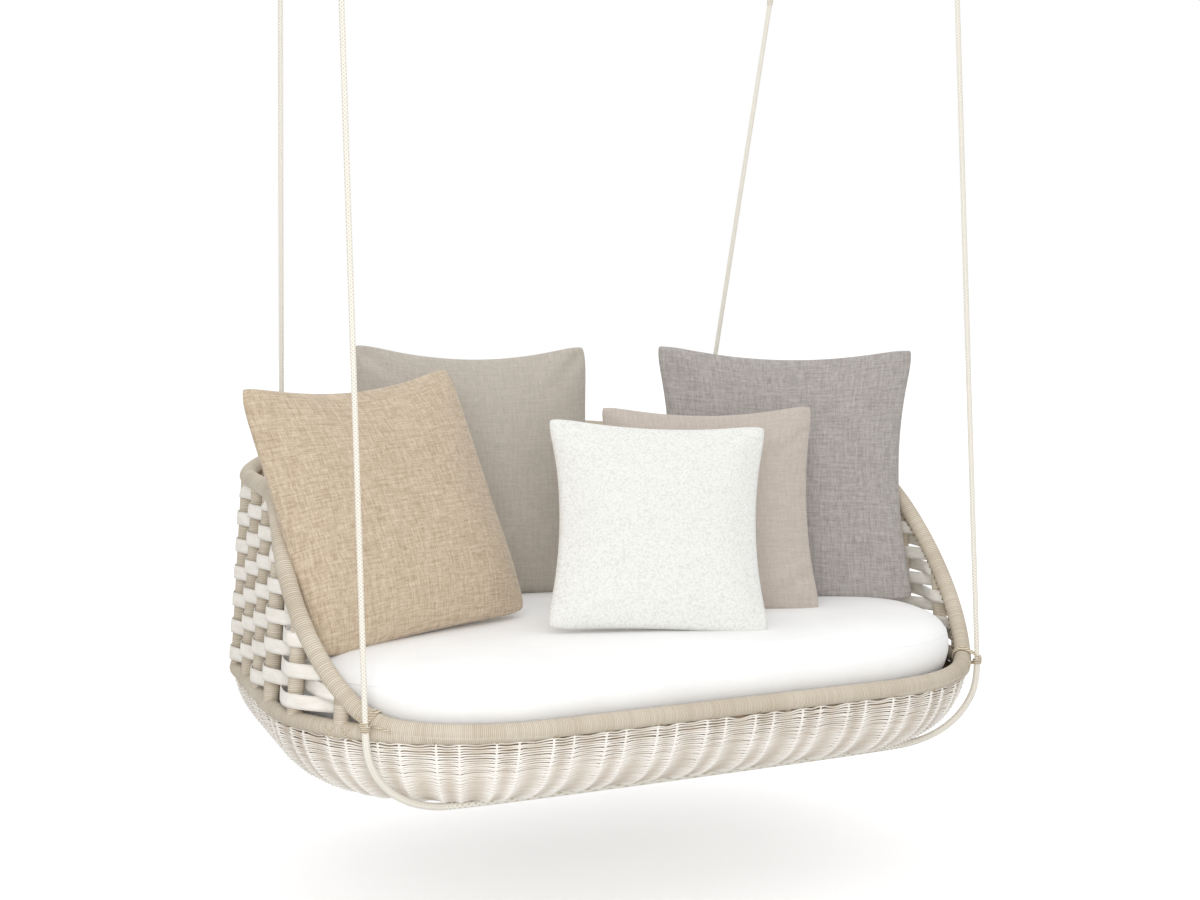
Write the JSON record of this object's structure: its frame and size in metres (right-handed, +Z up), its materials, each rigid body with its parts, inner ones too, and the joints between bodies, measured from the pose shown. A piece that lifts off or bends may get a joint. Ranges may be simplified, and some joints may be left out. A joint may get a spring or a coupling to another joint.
{
  "type": "hanging lounger",
  "caption": "Wide hanging lounger: a woven basket with a rounded wicker bowl, a seat cushion and scatter cushions, on ropes from ceiling fittings.",
  "frame": {"origin": "on the ceiling plane, in the middle of the four hanging points", "axes": "+Z up; +Y from the front rim to the back; +X right as seen from the front"},
  "size_m": [1.9328, 1.3253, 2.213],
  "materials": {
    "wrapped_frame": "cane wrapping in fine cross turns, khaki beige",
    "woven_strap": "flat woven strap, cream white, matt",
    "wicker": "round wicker woven over stakes, off-white, matt",
    "hidden_frame": "powder coat, beige, matt",
    "deck_belt": "flat webbing",
    "rope": "twisted rope, light beige",
    "tie_cord": "twisted cord, beige",
    "seat_cloth": "plain woven cloth, off-white",
    "sand_cloth": "linen weave, sand",
    "taupe_cloth": "linen weave, light taupe",
    "grey_cloth": "linen weave, warm grey",
    "light_taupe_cloth": "linen weave, taupe",
    "white_boucle": "looped boucle, white",
    "fitting_steel": "satin steel"
  },
  "bodies": {
    "ceiling": {"ceiling_plates": "fitting_steel", "ceiling_eyes": "fitting_steel"},
    "front_ropes": {"front_thimbles": "fitting_steel", "front_rope_eyes": "rope", "front_splices": "tie_cord", "front_left_rope": "rope", "front_right_rope": "rope"},
    "lounger": {"back_posts": "wrapped_frame", "back_straps": "woven_strap", "base_rail": "wrapped_frame", "bottom_ring": "hidden_frame", "bowl_ribs": "hidden_frame", "deck_belts": "deck_belt", "deck_ring": "hidden_frame", "front_sling": "rope", "front_ties": "tie_cord", "left_corner_posts": "wrapped_frame", "left_corner_straps": "woven_strap", "left_side_posts": "wrapped_frame", "left_side_straps": "woven_strap", "right_corner_posts": "wrapped_frame", "right_corner_straps": "woven_strap", "right_side_posts": "wrapped_frame", "right_side_straps": "woven_strap", "rim_back": "wrapped_frame", "rim_front": "wrapped_frame", "rim_left": "wrapped_frame", "rim_right": "wrapped_frame", "wicker_bowl": "wicker"},
    "back_ropes": {"back_thimbles": "fitting_steel", "back_rope_eyes": "rope", "back_splices": "tie_cord", "back_left_rope": "rope", "back_right_rope": "rope", "back_rim_eyes": "rope", "back_rim_splices": "tie_cord"},
    "seat_cushion": {"seat_cushion": "seat_cloth"},
    "sand_pillow": {"sand_pillow": "sand_cloth"},
    "taupe_pillow": {"taupe_pillow": "taupe_cloth"},
    "grey_pillow": {"grey_pillow": "grey_cloth"},
    "small_taupe_pillow": {"small_taupe_pillow": "light_taupe_cloth"},
    "white_pillow": {"white_pillow": "white_boucle"}
  },
  "joints": [
    {"name": "front_swing", "type": "hinge", "parent": "ceiling", "child": "front_ropes", "pos_m": [0, -0.337, -0.04], "axis": [1, 0, 0], "range_deg": [-4, 4]},
    {"name": "lounger_tilt", "type": "hinge", "parent": "front_ropes", "child": "lounger", "pos_m": [0, -0.46824, -1.984], "axis": [1, 0, 0], "range_deg": [-2.3, 2.3]},
    {"name": "back_swing", "type": "hinge", "parent": "ceiling", "child": "back_ropes", "pos_m": [0, 0.337, -0.04], "axis": [1, 0, 0], "range_deg": [-4.9, 4.9]},
    {"name": "seat_cushion_lift", "type": "slide", "parent": "lounger", "child": "seat_cushion", "axis": [0, 0, 1], "range_m": [0, 0.05]},
    {"name": "sand_pillow_lift", "type": "slide", "parent": "seat_cushion", "child": "sand_pillow", "axis": [0, 0, 1], "range_m": [0, 0.35]},
    {"name": "taupe_pillow_lift", "type": "slide", "parent": "seat_cushion", "child": "taupe_pillow", "axis": [0, 0, 1], "range_m": [0, 0.35]},
    {"name": "grey_pillow_lift", "type": "slide", "parent": "seat_cushion", "child": "grey_pillow", "axis": [0, 0, 1], "range_m": [0, 0.35]},
    {"name": "small_taupe_pillow_lift", "type": "slide", "parent": "seat_cushion", "child": "small_taupe_pillow", "axis": [0, 0, 1], "range_m": [0, 0.35]},
    {"name": "white_pillow_lift", "type": "slide", "parent": "seat_cushion", "child": "white_pillow", "axis": [0, 0, 1], "range_m": [0, 0.35]}
  ],
  "couplings": [
    {"joint": "lounger_tilt", "follows": "front_swing", "ratio": -0.57068},
    {"joint": "back_swing", "follows": "front_swing", "ratio": 1.2093}
  ]
}
